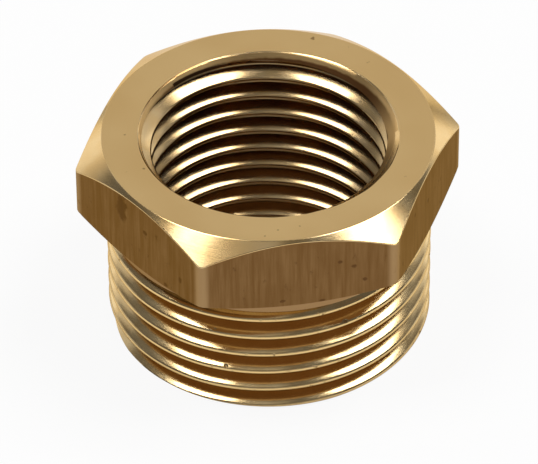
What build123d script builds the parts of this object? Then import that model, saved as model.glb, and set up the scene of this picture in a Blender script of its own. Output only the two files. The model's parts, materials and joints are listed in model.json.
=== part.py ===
from build123d import *
import os
from math import cos, radians, tan

# Hex reducing bushing in brass: a spanner hexagon over a threaded spigot, with a second thread
# right through the bore. It screws into a G 3/4 port and takes a G 1/2 pipe.
# Millimetres, +Z up. The origin is the centre of the spigot's end face, on which the part stands,
# and two corners of the hexagon lie on the X axis.

# Hexagon head, from hexagonal bar
ACROSS_FLATS = 27.0
CORNER_RADIUS = 0.6  # of the bar's six long edges
HEAD_HEIGHT = 6.7  # from the spigot to the top face
TOP_FACE_DIAMETER = 26.5  # the flat that the turned chamfer leaves
TOP_CHAMFER_ANGLE = 35.0  # degrees below the top face
UNDERSIDE_ANGLE = 23.0  # degrees above the horizontal, a shallow cone that starts at the spigot

# Spigot, with a parallel pipe thread of 55 degree form, G 3/4
SPIGOT_LENGTH = 10.9
MALE_MAJOR_DIAMETER = 26.1  # over the crests
THREADS_PER_INCH = 14
THREAD_ANGLE = 55.0
LOWEST_CREST = 0.09  # height of the thread's first crest
COLLAR_HEIGHT = 0.8  # plain stretch between the thread and the head
END_CHAMFER = 0.1  # at 45 degrees, a bare deburring

# Bore, drilled for a G 1/2 thread of the same pitch, with a 45 degree countersink at each end
FEMALE_MINOR_DIAMETER = 18.63
MOUTH_DIAMETER = 20.7
LOWER_MOUTH_DIAMETER = 19.8

# Worked out from the sizes above
pitch = 25.4 / THREADS_PER_INCH
flat = pitch / 6  # width of a crest, and of a groove's floor
total_height = SPIGOT_LENGTH + HEAD_HEIGHT
male_radius = MALE_MAJOR_DIAMETER / 2
bore_radius = FEMALE_MINOR_DIAMETER / 2
top_face_radius = TOP_FACE_DIAMETER / 2
bar_reach = ACROSS_FLATS / 2 / cos(radians(30))  # centre to a sharp corner of the bar
mouth_depth = MOUTH_DIAMETER / 2 - bore_radius
lower_mouth_depth = LOWER_MOUTH_DIAMETER / 2 - bore_radius


def grooves():
    """(bottom, top) of each groove of the male thread. The last is cut short by the collar."""
    thread_end = SPIGOT_LENGTH - COLLAR_HEIGHT
    spans = []
    bottom = LOWEST_CREST + flat / 2
    while bottom + flat < thread_end:
        spans.append((bottom, min(bottom + pitch - flat, thread_end)))
        bottom += pitch
    return spans


def groove_section(bottom, top):
    """One groove's section, seen from the crest line at x = 0.

    The floor keeps the width of the tool's tip, so the groove that is cut short is shallower too.
    """
    depth = (top - bottom - flat) / 2 / tan(radians(THREAD_ANGLE / 2))
    middle = (bottom + top) / 2
    return (0, bottom), (-depth, middle - flat / 2), (-depth, middle + flat / 2), (0, top)


with BuildPart() as hex_bushing:
    # The head is a slice of hexagonal bar
    with BuildSketch(Plane.XY.offset(SPIGOT_LENGTH)) as bar:
        RegularPolygon(radius=ACROSS_FLATS / 2, side_count=6, major_radius=False)
        fillet(bar.vertices(), radius=CORNER_RADIUS)
    extrude(amount=HEAD_HEIGHT)

    # It is turned to a cone above and another below, which leave curved edges on its flats
    with BuildSketch(Plane.XZ) as turned_section:
        with BuildLine():
            Polyline(
                (0, SPIGOT_LENGTH),
                (male_radius, SPIGOT_LENGTH),
                (bar_reach, SPIGOT_LENGTH + (bar_reach - male_radius) * tan(radians(UNDERSIDE_ANGLE))),
                (bar_reach, total_height - (bar_reach - top_face_radius) * tan(radians(TOP_CHAMFER_ANGLE))),
                (top_face_radius, total_height),
                (0, total_height),
                close=True,
            )
        make_face()
    revolve(axis=Axis.Z, mode=Mode.INTERSECT)

    # Spigot, with its thread cut as rings one pitch apart
    with BuildSketch(Plane.XZ) as spigot_section:
        with BuildLine():
            Polyline(
                (0, 0),
                (male_radius - END_CHAMFER, 0),
                (male_radius, END_CHAMFER),
                (male_radius, SPIGOT_LENGTH),
                (0, SPIGOT_LENGTH),
                close=True,
            )
        make_face()
        with Locations((male_radius, 0)):
            for bottom, top in grooves():
                Polygon(*groove_section(bottom, top), align=None, mode=Mode.SUBTRACT)
    revolve(axis=Axis.Z)

    # Bore, left plain at the female thread's crests
    with BuildSketch(Plane.XZ) as bore_section:
        with BuildLine():
            Polyline(
                (0, 0),
                (LOWER_MOUTH_DIAMETER / 2, 0),
                (bore_radius, lower_mouth_depth),
                (bore_radius, total_height - mouth_depth),
                (MOUTH_DIAMETER / 2, total_height),
                (0, total_height),
                close=True,
            )
        make_face()
    revolve(axis=Axis.Z, mode=Mode.SUBTRACT)

hex_bushing.part.label = "hex_bushing"
os.makedirs("parts", exist_ok=True)
export_step(hex_bushing.part, "parts/hex_bushing.step")
print(f"hex_bushing {hex_bushing.part.volume:.0f} mm3, {total_height:.1f} mm high")
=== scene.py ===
# %% [markdown]
# # A brass hex bushing
# A hex bushing joins a small pipe to a larger port: a spanner hexagon on top, a male pipe
# thread below it, and a female thread of the same pitch right through the bore. It is one
# piece of brass, turned and threaded on a bar lathe. The solid already has the true sizes,
# with the male thread as rings and the bore plain. This lesson makes the same form with both
# real helices, and then its finishes: satin turned faces, drawn flats and bright threads.

# %% Load the frame
import json
import time
from math import atan2, ceil, cos, hypot, pi, radians, sin, sqrt, tan, tau

import bmesh
import bpy
from mathutils import Matrix, Quaternion, Vector


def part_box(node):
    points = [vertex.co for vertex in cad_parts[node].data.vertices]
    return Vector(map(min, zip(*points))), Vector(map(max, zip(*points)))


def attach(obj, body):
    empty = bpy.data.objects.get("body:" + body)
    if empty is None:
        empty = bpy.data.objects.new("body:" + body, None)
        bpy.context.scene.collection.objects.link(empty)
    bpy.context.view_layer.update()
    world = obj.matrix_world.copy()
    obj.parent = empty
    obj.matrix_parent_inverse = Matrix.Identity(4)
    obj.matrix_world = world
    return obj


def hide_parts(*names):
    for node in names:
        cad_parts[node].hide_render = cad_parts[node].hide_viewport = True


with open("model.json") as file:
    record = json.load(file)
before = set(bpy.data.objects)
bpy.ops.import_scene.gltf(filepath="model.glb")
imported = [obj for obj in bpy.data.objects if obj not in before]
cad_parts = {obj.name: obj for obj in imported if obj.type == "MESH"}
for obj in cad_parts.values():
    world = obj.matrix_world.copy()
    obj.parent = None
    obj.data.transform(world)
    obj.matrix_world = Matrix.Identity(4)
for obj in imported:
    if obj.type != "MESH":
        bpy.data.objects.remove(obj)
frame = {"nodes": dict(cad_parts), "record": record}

started = time.time()
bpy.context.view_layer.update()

# %% [markdown]
# ## Sizes
# Every size comes from the solid, so that the dressed piece is exactly as large. The radii of
# its flat faces are read from its vertices, and the threads' crests from its mounts.

# %% Read the sizes from the solid
mm = 0.001
hair = 0.01 * mm  # how near counts as the same place
solid = frame["nodes"]["hex_bushing"]
low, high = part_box("hex_bushing")
mounts = {mount["name"]: mount for mount in frame["record"]["mounts"]}


def radii_at(height):
    """Smallest and largest radius of the solid's vertices at one height."""
    found = [hypot(v.co.x, v.co.y) for v in solid.data.vertices if abs(v.co.z - height) < 1e-6]
    return min(found), max(found)


total_height = high.z
across_flats = high.y - low.y
mouth_radius, top_face_radius = radii_at(total_height)
lower_mouth_radius, end_face_radius = radii_at(low.z)
male_radius = mounts["male_thread"]["dims"]["r_mm"] * mm
bore_radius = mounts["female_thread"]["dims"]["r_mm"] * mm
male_wall_middle = mounts["male_thread"]["pos_m"][2]
spigot_length = male_wall_middle + mounts["male_thread"]["dims"]["length_mm"] * mm / 2
print(f"mouth {mouth_radius / mm:.2f}, top face {top_face_radius / mm:.2f} mm in radius")
print(f"end face {end_face_radius / mm:.2f} mm in radius")
print(f"crests {male_radius / mm:.3f} and {bore_radius / mm:.3f} mm, spigot {spigot_length / mm:.2f} mm long")

# %% [markdown]
# The head's two cones are measured where they meet the hexagon's corners, which lie on X, and
# the countersink from where it runs into the bore, so that all three keep the solid's slopes.

# %% Measure the cones
corner_reach = high.x
at_corner = [v.co.z for v in solid.data.vertices if v.co.x > corner_reach - 1e-6]
chamfer_slope = (total_height - max(at_corner)) / (corner_reach - top_face_radius)
underside_slope = (min(at_corner) - spigot_length) / (corner_reach - male_radius)
bore_wall_heights = [
    v.co.z for v in solid.data.vertices if abs(hypot(v.co.x, v.co.y) - bore_radius) < hair
]
bore_top = max(bore_wall_heights)
mouth_slope = (mouth_radius - bore_radius) / (total_height - bore_top)  # widening for each step up
corner_radius = (across_flats / 2 / cos(pi / 6) - corner_reach) / (1 / cos(pi / 6) - 1)
print(f"slopes {chamfer_slope:.3f} and {underside_slope:.3f}, countersink {mouth_slope:.3f}")
print(f"corners rounded to {corner_radius / mm:.2f} mm")

# %% [markdown]
# ## Thread form
# Both threads are pipe threads of 14 turns to the inch. Their flanks stand at 55 degrees to
# each other, and crest and root are rounded to the same radius. One function gives the depth
# below the crest for any place in a turn, so both threads and their rows of points agree.

# %% The thread's section
pitch = 25.4 * mm / 14
half_angle = radians(55 / 2)
thread_depth = 0.640327 * pitch
rounding = 0.137329 * pitch
round_end = rounding * cos(half_angle)  # where the rounding runs into the flank
slope_start = rounding * (1 - sin(half_angle))


def depth_below_crest(turns):
    """Depth of the thread's section, where a whole number of turns is a crest."""
    away = abs(turns - round(turns)) * pitch
    if away <= round_end:
        return rounding - sqrt(rounding**2 - away**2)
    if away >= pitch / 2 - round_end:
        return thread_depth - rounding + sqrt(rounding**2 - (pitch / 2 - away) ** 2)
    return slope_start + (away - round_end) / tan(half_angle)


print(f"pitch {pitch / mm:.4f} mm, thread {depth_below_crest(0.5) / mm:.3f} mm deep")

# %% [markdown]
# Rows of points lie close together on the roundings and far apart on the straight flanks.

# %% Rows of points in one turn
rounded_rows = [rounding * sin(k / 3 * (pi / 2 - half_angle)) for k in range(4)]
half_rows = rounded_rows + [pitch / 4] + [pitch / 2 - row for row in reversed(rounded_rows)]
rows = half_rows[:-1] + [pitch - row for row in reversed(half_rows)]
narrowest = min(b - a for a, b in zip(rows, rows[1:]))
print(len(rows) - 1, "strips in a turn, the narrowest", round(1e6 * narrowest), "thousandths of a mm")

# %% [markdown]
# ## Helix
# A lathe makes a thread by turning the bar while the tool moves along it, one pitch a turn,
# and the spin operator with a step along the axis does the same. One strip, a pitch high, is
# spun as a plain helical band. Its turns are welded where they meet, which gives a smooth
# cylinder whose rows follow the thread, and each point then moves to the thread's radius.

# %% Spin a helical band
steps_per_turn = 240
front = radians(-90 - 9.835)  # the direction of the side that is shown, seen from above
crest_at_front = 0.09 * mm  # height of the lowest crest on that side


def helical_band(radius, top):
    """A cylinder from below the end face to above `top`, with rows along a right-hand thread."""
    bm = bmesh.new()
    foot = crest_at_front - 2 * pitch
    points = [bm.verts.new((radius * cos(front), radius * sin(front), foot + row)) for row in rows]
    edges = [bm.edges.new(pair) for pair in zip(points, points[1:])]
    bmesh.ops.spin(
        bm,
        geom=points + edges,
        axis=(0, 0, 1),
        cent=(0, 0, 0),
        dvec=(0, 0, pitch / steps_per_turn),
        angle=tau,
        steps=steps_per_turn,
    )
    one_turn = bm.verts[:] + bm.edges[:] + bm.faces[:]
    for turn in range(1, ceil((top - foot) / pitch) + 1):
        copied = bmesh.ops.duplicate(bm, geom=one_turn)["geom"]
        moved = [item for item in copied if isinstance(item, bmesh.types.BMVert)]
        bmesh.ops.translate(bm, verts=moved, vec=(0, 0, turn * pitch))
    bmesh.ops.remove_doubles(bm, verts=bm.verts, dist=5e-6)
    return bm


def turns_at(point):
    """How many turns a point lies above the lowest crest, measured along the helix."""
    return (point.z - crest_at_front) / pitch - (atan2(point.y, point.x) - front) / tau


# %% [markdown]
# The cutting die stops a little under the head, and its tapered lead leaves the last groove
# shallower, with a lip at one height all round. The wall above it stays plain.

# %% Male thread
thread_end = spigot_length - 0.8 * mm
lead_slope = tan(radians(45))
end_break = male_radius - end_face_radius


def set_radius(point, radius):
    scale = radius / hypot(point.x, point.y)
    point.x *= scale
    point.y *= scale


def cut_to_heights(bm, bottom, top):
    """Trims a wall square at both ends."""
    for height, side in ((bottom, -1), (top, 1)):
        bmesh.ops.bisect_plane(
            bm,
            geom=bm.verts[:] + bm.edges[:] + bm.faces[:],
            dist=1e-7,
            plane_co=(0, 0, height),
            plane_no=(0, 0, side),
            clear_outer=True,
        )


def add_rows(bm, heights):
    """Extra level rows of points, where a wall changes its slope."""
    for height in heights:
        whole = bm.verts[:] + bm.edges[:] + bm.faces[:]
        bmesh.ops.bisect_plane(bm, geom=whole, dist=1e-7, plane_co=(0, 0, height), plane_no=(0, 0, 1))


def male_wall_radius(point):
    depth = depth_below_crest(turns_at(point))
    lead_depth = max(0, thread_end - point.z) / lead_slope
    radius = male_radius - min(depth, lead_depth)
    return min(radius, end_face_radius + max(point.z, -end_break))


male_wall = helical_band(male_radius, spigot_length)
add_rows(male_wall, [end_break, thread_end])
for vert in male_wall.verts:
    set_radius(vert.co, male_wall_radius(vert.co))
cut_to_heights(male_wall, 0, spigot_length)
print(len(male_wall.faces), "faces in the male thread,", round(time.time() - started, 1), "s")

# %% [markdown]
# The female thread runs through, and a countersink opens it at each end. Its grooves are a
# little wider than the mouth, so that the thread breaks into the top countersink. The very
# edge of the mouth is broken by a hair, as a scraper leaves it.

# %% Female thread
mouth_break = 0.06 * mm
mouth_edge_slope = 2.4


def bore_wall_radius(point):
    radius = bore_radius + depth_below_crest(turns_at(point))
    mouth = mouth_radius - (total_height - point.z) * mouth_slope
    mouth_edge = mouth_radius + mouth_break - (total_height - point.z) * mouth_edge_slope
    lower_mouth = lower_mouth_radius - point.z
    return max(radius, mouth, mouth_edge, lower_mouth)


bore_wall = helical_band(bore_radius, total_height)
mouth_edge_end = total_height - mouth_break / (mouth_edge_slope - mouth_slope)
add_rows(bore_wall, [mouth_edge_end, bore_top, lower_mouth_radius - bore_radius])
for vert in bore_wall.verts:
    set_radius(vert.co, bore_wall_radius(vert.co))
cut_to_heights(bore_wall, 0, total_height)
print(len(bore_wall.faces), "faces in the bore,", round(time.time() - started, 1), "s")

# %% [markdown]
# ## Head
# The head is a slice of hexagonal bar. It starts as a circle of six sides, drawn up to a
# prism, with its upright edges rounded. The flats are divided finely, so that the edges which
# the two turned cones leave on them come out as true curves.

# %% Slice of hexagonal bar
head = bmesh.new()
sharp_reach = across_flats / 2 / cos(pi / 6)  # centre to a corner before it is rounded
bmesh.ops.create_circle(head, segments=6, radius=sharp_reach, matrix=Matrix.Rotation(pi / 6, 4, "Z"))
extruded = bmesh.ops.extrude_edge_only(head, edges=head.edges[:])["geom"]
upper = [item for item in extruded if isinstance(item, bmesh.types.BMVert)]
bmesh.ops.translate(head, verts=upper, vec=(0, 0, total_height))


def upright(edge):
    a, b = edge.verts
    return abs(a.co.z - b.co.z) > 1e-5


bmesh.ops.bevel(
    head,
    geom=[e for e in head.edges if upright(e)],
    offset=corner_radius * tan(pi / 6),
    offset_type="OFFSET",
    segments=8,
    profile=0.5,
    affect="EDGES",
    material=-1,
)
long_edges = [e for e in head.edges if not upright(e) and e.calc_length() > 5 * mm]
bmesh.ops.subdivide_edges(head, edges=long_edges, cuts=35, use_grid_fill=True)
print(len(head.verts), "points round the head, reach", round(max(v.co.x for v in head.verts) / mm, 3), "mm")

# %% [markdown]
# Each point of the prism's ends moves up or down to the cone that is turned there. The rims
# are then drawn in to circles, and a small bevel breaks the edges, which gives them the thin
# line of light that a real edge shows.

# %% Turn the two cones


def radius_of(vert):
    return hypot(vert.co.x, vert.co.y)


for vert in head.verts:
    if vert.co.z > total_height / 2:
        vert.co.z = total_height - max(0, radius_of(vert) - top_face_radius) * chamfer_slope
    else:
        vert.co.z = spigot_length + max(0, radius_of(vert) - male_radius) * underside_slope


def rim(bm, top):
    """The open edges at the top or the bottom of a wall."""
    middle = sum((v.co.z for v in bm.verts), 0) / len(bm.verts)
    return [e for e in bm.edges if e.is_boundary and (sum(v.co.z for v in e.verts) / 2 > middle) == top]


def draw_in(top, radius, height):
    """Extends the head inwards from one of its rims, to a circle."""
    for vert in bmesh.ops.extrude_edge_only(head, edges=rim(head, top))["geom"]:
        if isinstance(vert, bmesh.types.BMVert):
            set_radius(vert.co, radius)
            vert.co.z = height


flat_rim = 0.3 * mm  # width of top face that belongs to the head
foot_gap = 0.25 * mm  # from the spigot to the head's lower rim
edge_break = 0.05 * mm
draw_in(True, top_face_radius, total_height)
draw_in(True, top_face_radius - flat_rim, total_height)
draw_in(False, male_radius + foot_gap, spigot_length + foot_gap * underside_slope)
broken = [e for e in head.edges if e.calc_face_angle(0) > radians(15)]
bmesh.ops.bevel(
    head,
    geom=broken,
    offset=edge_break,
    offset_type="OFFSET",
    segments=2,
    profile=0.5,
    affect="EDGES",
    material=-1,
)
print(len(head.faces), "faces in the head")

# %% [markdown]
# ## Joining
# The six rims are joined in pairs, for the top face, the underside and the end face. This
# closes the piece.

# %% Close the piece
bushing = bmesh.new()
for part in (head, male_wall, bore_wall):
    holder = bpy.data.meshes.new("holder")
    part.to_mesh(holder)
    part.free()
    bushing.from_mesh(holder)
    bpy.data.meshes.remove(holder)


def open_rims():
    """The loops of open edges, each with its height and mean radius."""
    left = {e for e in bushing.edges if e.is_boundary}
    loops = []
    while left:
        loop, todo = [], [left.pop()]
        while todo:
            edge = todo.pop()
            loop.append(edge)
            near = {e for v in edge.verts for e in v.link_edges if e in left}
            left -= near
            todo += near
        verts = {v for e in loop for v in e.verts}
        height = sum(v.co.z for v in verts) / len(verts)
        loops.append((height, sum(map(radius_of, verts)) / len(verts), loop))
    return sorted(loops, key=lambda row: (round(row[0], 6), row[1]))


rims = open_rims()
for height, radius, loop in rims:
    print(f"rim of {len(loop)} edges, {height / mm:.2f} mm high, {radius / mm:.2f} mm in radius")
end_inner, end_outer, neck, head_foot, top_inner, top_outer = [loop for _, _, loop in rims]

bmesh.ops.bridge_loops(bushing, edges=neck + head_foot)
for rim_pair, side in ((end_outer + end_inner, -1), (top_inner + top_outer, 1)):
    filled = bmesh.ops.triangle_fill(bushing, edges=rim_pair, use_beauty=True, normal=(0, 0, side))["geom"]
    print("flat ring of", sum(isinstance(item, bmesh.types.BMFace) for item in filled), "faces")
bmesh.ops.recalc_face_normals(bushing, faces=bushing.faces)
print("open edges left:", sum(e.is_boundary for e in bushing.edges))
print("volume", round(bushing.calc_volume() * 1e9), "mm3")

# %% [markdown]
# ## Regions
# One piece of brass shows several finishes, as each surface was made by another tool. The
# faces are told apart by their slope and their place, and each gets its own material slot.

# %% Sort the faces by finish
regions = [
    "satin_top",
    "bright_cone",
    "drawn_flat",
    "male_thread",
    "female_thread",
    "countersink",
    "end_face",
]
in_a_thread = ("male_thread", "female_thread", "countersink")
sharp_in_a_thread, sharp_elsewhere = radians(31), radians(9)


def region_of(face):
    place = face.calc_center_median()
    radius = hypot(place.x, place.y)
    if radius < mouth_radius + 0.2 * mm and abs(face.normal.z) < 0.99:
        sunk = max(mouth_radius - (total_height - place.z) * mouth_slope, lower_mouth_radius - place.z)
        return "countersink" if radius < sunk + hair else "female_thread"
    if place.z > total_height - hair:
        return "satin_top"
    if face.normal.z < -0.99:
        return "end_face"
    if place.z < spigot_length:
        return "male_thread"
    if face.normal.z < 0.1:
        return "drawn_flat"  # the flats, and the head's underside, which was left as dull
    return "bright_cone"


for face in bushing.faces:
    face.smooth = True
    face.material_index = regions.index(region_of(face))
for edge in bushing.edges:
    threaded = all(regions[face.material_index] in in_a_thread for face in edge.link_faces)
    edge.smooth = edge.calc_face_angle(0) < (sharp_in_a_thread if threaded else sharp_elsewhere)
mesh = bpy.data.meshes.new("turned_bushing")
bushing.to_mesh(mesh)
bushing.free()
piece = bpy.data.objects.new("turned_bushing", mesh)
bpy.context.scene.collection.objects.link(piece)
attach(piece, "root")
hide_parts("hex_bushing")
for index, name in enumerate(regions):
    print(name, sum(p.material_index == index for p in mesh.polygons), "faces")
print(sum(len(p.vertices) - 2 for p in mesh.polygons), "triangles")

# %% [markdown]
# ## Shader maths
# A finish is worked out from the place on the piece. Written as nodes that is a long list of
# links, so one small class stands for the output of a node and lets plain sums be written.

# %% Sums on sockets


class Reading:
    """The output of a node, which can be used in a sum."""

    def __init__(self, finish, socket):
        self.finish, self.socket = finish, socket

    def maths(self, operation, *others):
        values = dict(enumerate((self, *others)))
        return self.finish.node("ShaderNodeMath", {"operation": operation}, values)

    def __add__(self, other):
        return self.maths("ADD", other)

    def __sub__(self, other):
        return self.maths("SUBTRACT", other)

    def __rsub__(self, other):
        return self.maths("MULTIPLY_ADD", -1, other)

    def __mul__(self, other):
        return self.maths("MULTIPLY", other)

    def __truediv__(self, other):
        return self.maths("DIVIDE", other)

    def __neg__(self):
        return self.maths("MULTIPLY", -1)

    __radd__, __rmul__ = __add__, __mul__

    def between(self, low, high):
        """0 below one value and 1 above the other, with a soft step from one to the other."""
        inputs = {"Value": self, "From Min": low, "From Max": high}
        return self.finish.node("ShaderNodeMapRange", {"interpolation_type": "SMOOTHSTEP"}, inputs)


class Finish:
    """A material, and the one way in which nodes are added to it."""

    def __init__(self, name):
        self.material = bpy.data.materials.new(name)
        self.material.use_nodes = True
        self.tree = self.material.node_tree
        self.tree.nodes.clear()

    def node(self, kind, settings=None, inputs=None, output=0):
        made = self.tree.nodes.new(kind)
        for name, value in (settings or {}).items():
            setattr(made, name, value)
        for name, value in (inputs or {}).items():
            if isinstance(value, Reading):
                self.tree.links.new(value.socket, made.inputs[name])
            else:
                made.inputs[name].default_value = value
        return Reading(self, made.outputs[output])

    def blend(self, mask, colour, other):
        """One colour where the mask is 0 and the other where it is 1."""
        inputs = {0: mask}
        for socket, value in ((6, colour), (7, other)):
            inputs[socket] = value if isinstance(value, Reading) else (*value, 1)
        return self.node("ShaderNodeMix", {"data_type": "RGBA"}, inputs, output=2)

    def place(self):
        """The place on the piece in millimetres, and its three parts."""
        where = self.node("ShaderNodeTexCoord", output="Object")
        where = self.node("ShaderNodeVectorMath", {"operation": "SCALE"}, {0: where, "Scale": 1000.0})
        return where, [self.node("ShaderNodeSeparateXYZ", None, {0: where}, output=axis) for axis in "XYZ"]

    def vector(self, x, y, z):
        return self.node("ShaderNodeCombineXYZ", None, {0: x, 1: y, 2: z})

    def grain(self, where, scale, detail=2.0, roughness=0.5):
        """A soft random pattern round 0.5, with `scale` patches in a millimetre."""
        inputs = {"Vector": where, "Scale": scale, "Detail": detail, "Roughness": roughness}
        return self.node("ShaderNodeTexNoise", None, inputs)

    def spot(self, where, centre, size):
        """1 in the middle of a small ragged mark and 0 outside it; `size` is its half widths in mm."""
        away = self.node("ShaderNodeVectorMath", {"operation": "SUBTRACT"}, {0: where, 1: centre})
        away = self.node("ShaderNodeVectorMath", {"operation": "DIVIDE"}, {0: away, 1: size})
        away = self.node("ShaderNodeVectorMath", {"operation": "LENGTH"}, {0: away}, output="Value")
        return 1 - (away + 1.4 * (self.grain(where, 1.8, 2.0) - 0.5)).between(0.6, 1.1)

    def close(self, colour, roughness, height, tint=(0.75, 0.6, 0.4)):
        """Ends the finish: metal of this colour and roughness, with a relief in millimetres."""
        bump = self.node("ShaderNodeBump", None, {"Height": height, "Distance": 0.001, "Strength": 1.0})
        inputs = {
            "Base Color": colour,
            "Roughness": roughness,
            "Metallic": 1.0,
            "Specular Tint": (*tint, 1),
            "Normal": bump,
        }
        metal = self.node("ShaderNodeBsdfPrincipled", None, inputs)
        self.end(metal)
        return self.material

    def end(self, shader):
        output = self.tree.nodes.new("ShaderNodeOutputMaterial")
        self.tree.links.new(shader.socket, output.inputs["Surface"])


# %% [markdown]
# ## Colours of the brass
# Fresh cut brass is pale and bright, and turns warmer, then brown, as it dulls. The bar's own
# drawn skin is the dullest of all, because only the turned faces were cut afterwards. These
# few tones are blended by every finish, so all the faces look like the same metal. The darker
# browns also serve as painted shade in the threads' roots and lower flanks and the countersink.

# %% Colours of the brass
pale_brass = (0.87, 0.65, 0.34)
fresh_brass = (0.80, 0.56, 0.25)
warm_brass = (0.74, 0.47, 0.18)
# The dull brass is the drawn skin and the bore's duller crests, and also painted shade in the bore's roots.
dull_and_shade_brass = (0.27, 0.15, 0.058)
drawn_brass = (0.185, 0.092, 0.03)
# Painted shade: a darker brown for the male thread's roots, where the grooves lie in shade.
root_shade_brown = (0.30, 0.14, 0.045)
# Oxide brown colours real pits, specks and nicks, and is also painted shade on the bore's lower flanks and at
# the countersink's far edge.
oxide_and_shade_brown = (0.11, 0.05, 0.018)
shaded_brown = (0.14, 0.065, 0.02)  # painted shade on the lower flanks
rubbed_brass = (0.5, 0.33, 0.16)  # corners worn by handling
neck_brass = (0.36, 0.215, 0.095)  # the collar, as the roughing tool left it
bore_brass = (0.78, 0.57, 0.30)
faced_brass = ((0.76, 0.51, 0.22), (0.82, 0.57, 0.26))
keen_brass = ((0.76, 0.51, 0.22), (0.82, 0.60, 0.31))
sunk_brass = ((0.62, 0.4, 0.17), (0.72, 0.48, 0.21))
tones = (pale_brass, fresh_brass, warm_brass, dull_and_shade_brass, drawn_brass)
print("tones, as red over blue:", [round(red / blue, 1) for red, _, blue in tones])

# %% [markdown]
# ## Satin top
# The top was faced with a fine feed, which leaves rings too fine to count and a soft sheen.
# The rings are noise that only knows the distance from the axis. A few dark specks sit where
# handling has marked the face, and a slow cloud keeps the tone from being even.

# %% Satin top
satin = Finish("satin_top")
where, (x, y, z) = satin.place()
radius = (x * x + y * y).maths("SQRT")
rings = satin.grain(satin.vector(radius, 0.0, 0.0), 5.0, 3.0)
cloud = satin.grain(where, 0.12, 2.0)
speck = satin.grain(where, 1.3, 2.0).between(0.74, 0.80)
top_marks = [
    ((13.45, -1.0), 0.16),
    ((10.06, -2.16), 0.14),
    ((13.39, -2.9), 0.1),
    ((-1.35, -11.88), 0.1),
    ((-2.46, -12.41), 0.12),
]
for (across, along), size in top_marks:
    mark = satin.spot(where, (across, along, total_height / mm), (size, size, size))
    speck = speck.maths("MAXIMUM", mark * 0.7)
colour = satin.blend(cloud.between(0.3, 0.7), *faced_brass)
colour = satin.blend(speck * 0.6, colour, oxide_and_shade_brown)
top_finish = satin.close(colour, 0.34 + 0.08 * (rings - 0.5) + 0.1 * speck, 0.0008 * rings)
print(len(top_marks), "marks on the top face")

# %% [markdown]
# ## Bright cones
# The chamfer that trims the hexagon's corners was turned last, with a keen tool, and shines
# almost like a mirror. It has the same rings as the top, much fainter and less rough.

# %% Bright cones
cone = Finish("bright_cone")
where, (x, y, z) = cone.place()
radius = (x * x + y * y).maths("SQRT")
angle = y.maths("ARCTAN2", x)
rings = cone.grain(cone.vector(radius, angle * 0.15, 0.0), 7.0, 3.0)
cloud = cone.grain(where, 0.35, 2.0)
colour = cone.blend(cloud.between(0.3, 0.7), *keen_brass)
cone_finish = cone.close(colour, 0.13 + 0.08 * rings, 0.0008 * rings, (0.85, 0.72, 0.52))
print("bright cone:", cone_finish.name)

# %% [markdown]
# ## Drawn flats
# The six flats are the skin of the bar as it was drawn through its die: dull, with streaks
# along the bar. Noise squeezed along the axis gives the streaks. Dark pits and stains are
# single marks at known places, and the rounded corners are rubbed a little brighter.

# %% Drawn flats
drawn = Finish("drawn_flat")
where, (x, y, z) = drawn.place()
streaks = drawn.grain(drawn.vector(x, y, z * 0.06), 2.6, 4.0, 0.6)
fine = drawn.grain(drawn.vector(x, y, z * 0.03), 9.0, 2.0)
cloud = drawn.grain(where, 0.3, 3.0)
pitting = drawn.grain(drawn.vector(x, y, z * 0.6), 1.5, 3.0, 0.6).between(0.62, 0.74) * 0.6
flat_marks = [
    ((-12.6, -5.2, 16.1), (0.5, 0.8, 1.5)),
    ((-11.17, -7.66, 15.27), (0.22, 0.3, 0.22)),
    ((-9.03, -11.35, 13.22), (0.18, 0.25, 0.3)),
    ((-9.92, -9.82, 11.53), (0.2, 0.3, 0.2)),
    ((3.25, -13.5, 14.98), (0.2, 0.3, 0.2)),
    ((4.36, -13.5, 14.4), (0.28, 0.3, 0.22)),
    ((5.25, -13.5, 12.92), (0.2, 0.3, 0.25)),
    ((1.84, -13.5, 11.28), (0.3, 0.3, 0.15)),
    ((-1.26, -13.5, 11.66), (0.25, 0.3, 0.15)),
    ((11.56, -6.99, 14.63), (0.2, 0.2, 0.25)),
    ((9.93, -9.8, 15.67), (0.2, 0.2, 0.2)),
]
for centre, size in flat_marks:
    pitting = pitting.maths("MAXIMUM", drawn.spot(where, centre, size) * (0.5 + 0.5 * streaks))
from_axis = (x * x + y * y).maths("SQRT")
rubbed = from_axis.between(corner_reach / mm - 0.35, corner_reach / mm - 0.05)
colour = drawn.blend(streaks.between(0.3, 0.72), drawn_brass, dull_and_shade_brass)
colour = drawn.blend(cloud.between(0.35, 0.75) * 0.5, colour, drawn_brass)
colour = drawn.blend(rubbed * 0.6, colour, rubbed_brass)
colour = drawn.blend(pitting, colour, oxide_and_shade_brown)
flat_finish = drawn.close(colour, 0.42 + 0.12 * streaks, 0.004 * streaks + 0.002 * fine - 0.02 * pitting)
print(len(flat_marks), "marks on the flats")

# %% [markdown]
# ## Threads
# Each thread was cut by a single tool. Its flanks are bright with faint lines along the
# helix, the lower flanks and roots are painted darker brown as shade, and the crests are
# nicked where they were knocked. The place within a turn comes from the height and the
# angle, by the same sum that shaped the thread, so crest, flank and root always fall on
# the right faces.

# %% Thread finish


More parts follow.
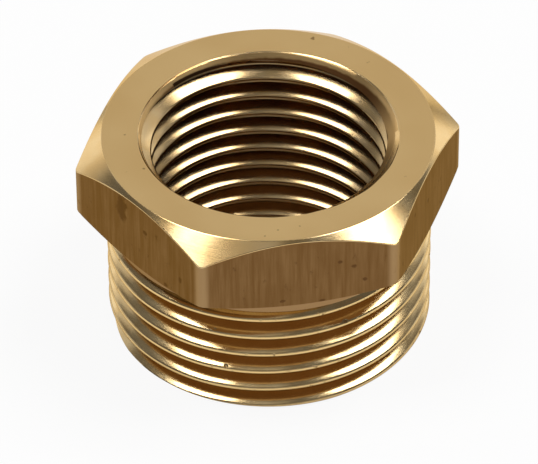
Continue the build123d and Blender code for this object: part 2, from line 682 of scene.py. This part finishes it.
def thread_finish(name, bright, groove, crest, underside, polish, nicks, collar_height=None):
    """Bright flanks, painted shade in the roots and lower flanks, tool lines and nicks at the given places in
    mm.
    """
    cut = Finish(name)
    where, (x, y, z) = cut.place()
    angle = y.maths("ARCTAN2", x)
    turns = (z - crest_at_front / mm) / (pitch / mm) - (angle - front) / tau
    above_crest = turns - turns.maths("ROUND")
    from_crest = above_crest.maths("ABSOLUTE")
    along_helix = cut.vector(from_crest * (pitch / mm), angle * 1.2, turns.maths("ROUND") * 3.0)
    lines = cut.grain(along_helix, 9.0, 3.0)
    chips = cut.grain(where, 2.2, 3.0, 0.6).between(0.64, 0.72) * (1 - from_crest.between(0.03, 0.14))
    ragged = 0.2 + cut.grain(where, 3.0, 2.0)
    for centre in nicks:
        chips = chips.maths("MAXIMUM", cut.spot(where, centre, (0.3, 0.3, 0.16)) * ragged)
    colour = cut.blend(cut.grain(where, 0.5, 3.0).between(0.35, 0.7) * 0.5, bright, warm_brass)
    # Painted shade: the roots are darkened to the groove colour.
    colour = cut.blend(from_crest.between(0.42, 0.48), colour, groove)
    colour = cut.blend(1 - from_crest.between(0.04, 0.09), colour, crest)
    # Painted shade: the lower flanks, which face down, are darkened to the underside colour.
    colour = cut.blend(1 - above_crest.between(-0.16, -0.1), colour, underside)
    roughness = polish + 0.10 * lines + 0.2 * chips
    if collar_height:
        collar = z.between(collar_height / mm - 0.1, collar_height / mm + 0.1)
        colour = cut.blend(collar, colour, neck_brass)
        roughness = roughness + 0.25 * collar
    colour = cut.blend(chips * 0.7, colour, oxide_and_shade_brown)
    return cut.close(colour, roughness, 0.0025 * lines - 0.05 * chips)


# %% [markdown]
# The male thread carries the nicks. Its neck, above the run-out, was left as the roughing
# tool cut it, and is as dull as the flats. The bore's thread has duller crests.

# %% Both threads
male_nicks = [
    (-9.8, -8.62, 7.55),
    (-6.41, -11.36, 7.61),
    (-6.19, -11.49, 7.68),
    (-6.73, -11.18, 5.07),
    (-5.64, -11.77, 3.92),
    (-6.47, -11.33, 2.18),
    (-6.56, -11.28, 1.08),
    (-3.23, -12.64, 3.14),
    (0.41, -13.04, 8.08),
    (3.96, -12.43, 7.72),
    (7.31, -10.81, 1.62),
    (5.22, -11.96, 0.94),
    (10.21, -8.13, 1.93),
]
# Painted shade in the male thread's roots and on its lower flanks, in darker browns.
male_finish = thread_finish(
    "male_thread",
    bright=pale_brass,
    groove=root_shade_brown,
    crest=fresh_brass,
    underside=shaded_brown,
    polish=0.13,
    nicks=male_nicks,
    collar_height=thread_end,
)
# Painted shade in the bore's roots, in dull brass, and on its lower flanks, in oxide brown.
female_finish = thread_finish(
    "female_thread",
    bright=bore_brass,
    groove=dull_and_shade_brass,
    crest=dull_and_shade_brass,
    underside=oxide_and_shade_brown,
    polish=0.15,
    nicks=[],
)
print(len(male_nicks), "nicks on the male thread's crests")

# %% [markdown]
# ## Countersink and end face
# The countersink lets a pipe's first turn start, and the end face is faced like the top but
# less finely. Both are plain turned surfaces with rings of tool marks. On the far side, where
# the thread breaks into the countersink, its lower edge is painted dark as shadow.

# %% Countersink and end face
sunk = Finish("countersink")
where, (x, y, z) = sunk.place()
rings = sunk.grain(sunk.vector(z, 0.0, 0.0), 8.0, 2.0)
# Painted shadow: on the far side, the countersink's lower edge is darkened where the thread's first groove
# breaks in.
far_side = (-(y.maths("ARCTAN2", x) - front).maths("COSINE")).between(-0.1, 0.6)
ragged_height = z + 0.12 * sunk.grain(where, 1.5, 3.0)
deep = 1 - ragged_height.between(total_height / mm - 0.38, total_height / mm - 0.16)
colour = sunk.blend(rings, *sunk_brass)
colour = sunk.blend(far_side * deep, colour, oxide_and_shade_brown)
sunk_finish = sunk.close(colour, 0.26 + 0.1 * rings + 0.2 * far_side * deep, 0.001 * rings)

end = Finish("end_face")
where, (x, y, z) = end.place()
rings = end.grain(end.vector((x * x + y * y).maths("SQRT"), 0.0, 0.0), 5.0, 3.0)
end_finish = end.close(end.blend(rings, warm_brass, fresh_brass), 0.3 + 0.1 * rings, 0.001 * rings)

for finish in (top_finish, cone_finish, flat_finish, male_finish, female_finish, sunk_finish, end_finish):
    mesh.materials.append(finish)
print(len(mesh.materials), "finishes on the piece")

# %% [markdown]
# ## Floor
# The bushing stands on a pale plain floor that runs past the edge of the view. To the camera
# the floor is nearly all glow, so it looks white and keeps only a faint shadow. Reflections
# see that glow too, but not within 12 mm of the axis, and in full only beyond 18 mm.

# %% Floor
bm = bmesh.new()
bmesh.ops.create_grid(bm, x_segments=1, y_segments=1, size=4, matrix=Matrix.Translation((0, 0, -0.01 * mm)))
floor_mesh = bpy.data.meshes.new("floor")
bm.to_mesh(floor_mesh)
bm.free()
floor_piece = bpy.data.objects.new("floor", floor_mesh)
scene = bpy.context.scene
scene.collection.objects.link(floor_piece)

paint = Finish("pale_floor")
ray_names = ("Is Camera Ray", "Is Glossy Ray", "Is Transmission Ray")
rays = {name: paint.node("ShaderNodeLightPath", output=name) for name in ray_names}
glow_share = 0.9  # the rest is matt paint, which takes the shadow
matt = paint.node("ShaderNodeBsdfDiffuse", None, {"Color": (0.9, 0.9, 0.9, 1)})
glow = paint.node("ShaderNodeEmission", None, {"Color": (1, 1, 1, 1), "Strength": 1.0})
where, (x, y, z) = paint.place()
clear = (x * x + y * y).maths("SQRT").between(12.0, 18.0)
glowing = (rays["Is Camera Ray"] * glow_share).maths("MAXIMUM", rays["Is Glossy Ray"] * clear * glow_share)
glowing = glowing.maths("MAXIMUM", rays["Is Transmission Ray"] * glow_share)
paint.end(paint.node("ShaderNodeMixShader", None, {0: glowing, 1: matt, 2: glow}))
floor_mesh.materials.append(paint.material)
print("floor", [round(n, 1) for n in floor_piece.dimensions], "m")

# %% [markdown]
# ## Camera
# The camera is far away with a long lens, so the hexagon hardly tapers. It looks down at the
# bushing from a little to the left of one flat, and is rolled by less than half a degree.

# %% Camera
azimuth, elevation = radians(-9.835), radians(40.228)
back = Vector((sin(azimuth) * cos(elevation), -cos(azimuth) * cos(elevation), sin(elevation)))
right = Vector((cos(azimuth), sin(azimuth), 0))
toward = Vector((sin(azimuth), -cos(azimuth), 0))
camera_data = bpy.data.cameras.new("camera")
camera_data.sensor_width = 36
camera_data.lens = 343.85
camera_data.clip_start, camera_data.clip_end = 0.05, 20
camera = bpy.data.objects.new("camera", camera_data)
scene.collection.objects.link(camera)
camera_distance = 413.34  # in mm
roll = Quaternion((0, 0, 1), radians(-0.376))
camera.location = Vector((0, 0, 8.862 * mm)) + back * camera_distance * mm
aim = Vector((0, 0, 7.2436 * mm)) + right * 0.0044 * mm
camera.rotation_mode = "QUATERNION"
camera.rotation_quaternion = (aim - camera.location).to_track_quat("-Z", "Y") @ roll
scene.camera = camera
print("camera at", [round(n / mm, 1) for n in camera.location], "mm")

# %% [markdown]
# ## Lights
# Two softboxes overhead, with a dark gap between them, draw the two bright streaks down the
# threads and the white corners of the chamfer. A large dim panel behind gives the top face
# its even tan, two dim walls at the sides make the corner cones tan, and two dim panels in
# front lift the flats. A lamp's power follows from how bright its surface should look, so
# lamps of different sizes can be compared by eye.

# %% Lights


def soft_lamp(name, lean, size, radiance, shape, along=(1, 0), distance=1.0):
    """A lamp that leans from overhead to the right and toward the camera, by parts of its distance."""
    way = right * lean[0] + toward * lean[1] + Vector((0, 0, sqrt(1 - lean[0] ** 2 - lean[1] ** 2)))
    light = bpy.data.lights.new(name, "AREA")
    light.shape = shape
    light.size, light.size_y = size
    area_share = pi / 4 if shape == "ELLIPSE" else 1
    light.energy = pi * size[0] * size[1] * area_share * radiance
    lamp = bpy.data.objects.new(name, light)
    scene.collection.objects.link(lamp)
    lamp.location = Vector((0, 0, 10 * mm)) + way * distance
    length_way = right * along[0] + toward * along[1]
    up = way.cross(length_way).normalized()
    lamp.rotation_mode = "QUATERNION"
    lamp.rotation_quaternion = Matrix((up.cross(way), up, way)).transposed().to_quaternion()
    lamp.visible_camera = False
    print(f"{name}: {light.energy:.2f} W")


soft_lamp("left_softbox", (-0.375, 0.02), (0.46, 0.44), 7.0, "ELLIPSE", (0.41, 0.3))
soft_lamp("right_softbox", (0.47, -0.08), (0.56, 0.50), 7.0, "ELLIPSE", (0.34, -0.45))
soft_lamp("back_panel", (0, -0.88), (2.0, 0.95), 0.52, "RECTANGLE")
soft_lamp("left_wall", (-0.82, -0.52), (0.9, 0.42), 0.46, "RECTANGLE", (-0.52, 0.82))
soft_lamp("right_wall", (0.82, -0.52), (0.9, 0.42), 0.55, "RECTANGLE", (0.52, 0.82))
soft_lamp("front_fill", (-0.12, 0.42), (0.42, 0.32), 0.3, "RECTANGLE")
soft_lamp("front_panel", (0, 0.93), (1.6, 0.4), 0.3, "RECTANGLE")

world = bpy.data.worlds.new("studio")
scene.world = world
world.use_nodes = True
surroundings = world.node_tree.nodes["Background"]
surroundings.inputs["Color"].default_value = (0.12, 0.12, 0.12, 1)
scene.view_settings.view_transform = "Standard"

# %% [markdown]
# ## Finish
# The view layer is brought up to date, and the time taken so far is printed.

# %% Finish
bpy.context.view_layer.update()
print(round(time.time() - started, 1), "s")
